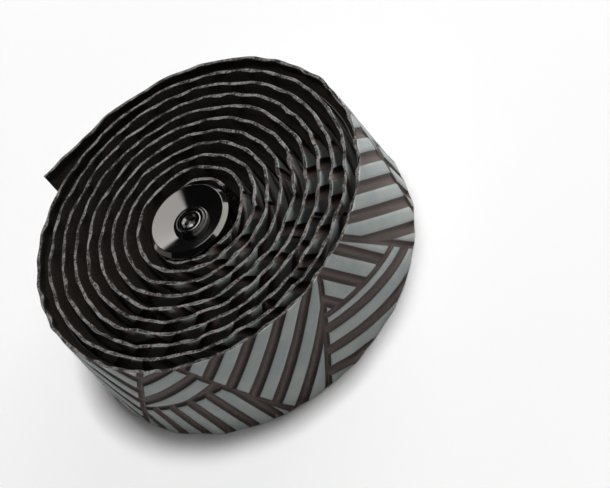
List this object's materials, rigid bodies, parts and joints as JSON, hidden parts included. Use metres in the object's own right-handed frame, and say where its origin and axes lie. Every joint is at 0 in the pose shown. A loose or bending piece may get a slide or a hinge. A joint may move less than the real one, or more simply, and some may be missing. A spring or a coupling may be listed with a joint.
{
  "type": "handlebar tape roll",
  "caption": "Roll of padded handlebar tape wound in an open spiral, standing on its edge, with an expanding bar-end plug in its core.",
  "frame": {"origin": "centre of the roll's outline from above, on the surface that the roll stands on", "axes": "+Z along the roll's axis, from the surface up to the plug's cap; +X to the right and +Y away in the plan view, with the tape's free end at the far left"},
  "size_m": [0.0904, 0.0922, 0.0309],
  "materials": {
    "tape": "embossed foam with satin grey printed bands on dark brown",
    "plug_cap": "polished black moulding",
    "plug_sleeve": "fine moulded grain",
    "plug_wedge_nut": "fine moulded grain",
    "plug_screw": "black oxide, turned"
  },
  "bodies": {
    "root": {"tape": "tape", "plug_cap": "plug_cap", "plug_sleeve": "plug_sleeve", "plug_wedge_nut": "plug_wedge_nut", "plug_screw": "plug_screw"}
  },
  "joints": []
}
